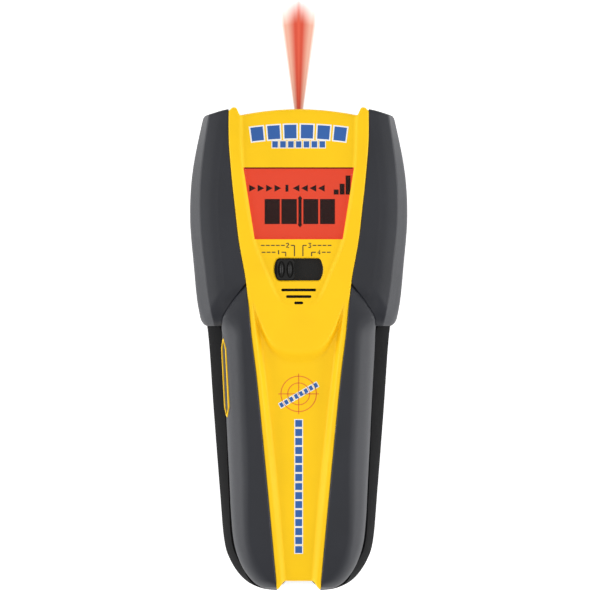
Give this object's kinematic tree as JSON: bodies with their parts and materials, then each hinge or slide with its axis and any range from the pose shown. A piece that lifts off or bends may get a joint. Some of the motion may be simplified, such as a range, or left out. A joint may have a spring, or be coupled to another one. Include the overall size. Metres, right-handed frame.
{
  "type": "stud finder",
  "caption": "Handheld stud finder with a display, a sliding mode switch, a side power button, a nose light beam and a hinged battery door behind.",
  "frame": {"origin": "centre of the footprint on the wall plane, level with the glide strips on the sensing face", "axes": "+Z out of the display face, +Y towards the nose that throws the beam, +X to the right as the display is read"},
  "size_m": [0.0824, 0.1833, 0.0356],
  "materials": {
    "yellow_housing": "satin moulded",
    "slate_rubber": "soft matt",
    "black_housing": "fine texture",
    "near_black_plastic": "satin",
    "clear_window": "polished",
    "lcd_glass": "polished",
    "white_plastic": "satin",
    "grey_ferrite": "matt",
    "circuit_board": "solder mask",
    "felt": "felt",
    "red_plastic": "gloss",
    "red_lens": "polished",
    "tinned_steel": "bright",
    "screw_steel": "satin",
    "copper": "enamelled wire",
    "battery_jacket": "printed film"
  },
  "bodies": {
    "body": {"front_housing": "yellow_housing", "button_bezel": "yellow_housing", "rear_housing": "black_housing", "beam_holder": "black_housing", "left_shoulder_guard": "slate_rubber", "right_shoulder_guard": "slate_rubber", "left_handle_grip": "slate_rubber", "right_handle_grip": "slate_rubber", "tact_switch_body": "near_black_plastic", "microcontroller": "near_black_plastic", "buzzer": "near_black_plastic", "board_header": "near_black_plastic", "battery_snap": "near_black_plastic", "battery_lead_black": "near_black_plastic", "lens_gasket": "near_black_plastic", "display_lens": "clear_window", "lcd_glass": "lcd_glass", "lcd_backlight": "white_plastic", "lcd_frame": "white_plastic", "main_board": "circuit_board", "sensor_board": "circuit_board", "button_board": "circuit_board", "boost_inductor": "grey_ferrite", "filter_capacitor": "battery_jacket", "crystal": "tinned_steel", "slide_switch_body": "tinned_steel", "metal_scan_coil": "copper", "battery_case": "battery_jacket", "battery_terminal_positive": "tinned_steel", "battery_terminal_negative": "tinned_steel", "battery_lead_red": "red_plastic", "beam_led": "red_plastic", "beam_lens": "red_lens", "head_glide_left": "felt", "head_glide_right": "felt", "handle_glide_left": "felt", "handle_glide_right": "felt", "housing_screw_1": "screw_steel", "housing_screw_2": "screw_steel", "housing_screw_3": "screw_steel", "housing_screw_4": "screw_steel"},
    "mode_selector": {"mode_slider": "near_black_plastic", "slide_switch_lever": "near_black_plastic"},
    "power_key": {"power_button": "slate_rubber"},
    "power_plunger": {"tact_switch_plunger": "near_black_plastic"},
    "door": {"battery_door": "black_housing", "door_foam": "felt"}
  },
  "joints": [
    {"name": "mode_slide", "type": "slide", "parent": "body", "child": "mode_selector", "axis": [1, 0, 0], "range_m": [0, 0.00981]},
    {"name": "power_press", "type": "slide", "parent": "body", "child": "power_key", "axis": [0.9732, 0.0487, -0.2247], "range_m": [0, 0.001], "stiffness_N_per_m": 400, "springref_m": -0.0004},
    {"name": "plunger_press", "type": "slide", "parent": "body", "child": "power_plunger", "axis": [0.9732, 0.0487, -0.2247], "range_m": [0, 0.0007]},
    {"name": "door_swing", "type": "hinge", "parent": "body", "child": "door", "pos_m": [0, -0.0282, 0.0021], "axis": [1, 0, 0], "range_deg": [0, 95]}
  ],
  "couplings": [
    {"joint": "plunger_press", "follows": "power_press", "ratio": 0.7}
  ]
}
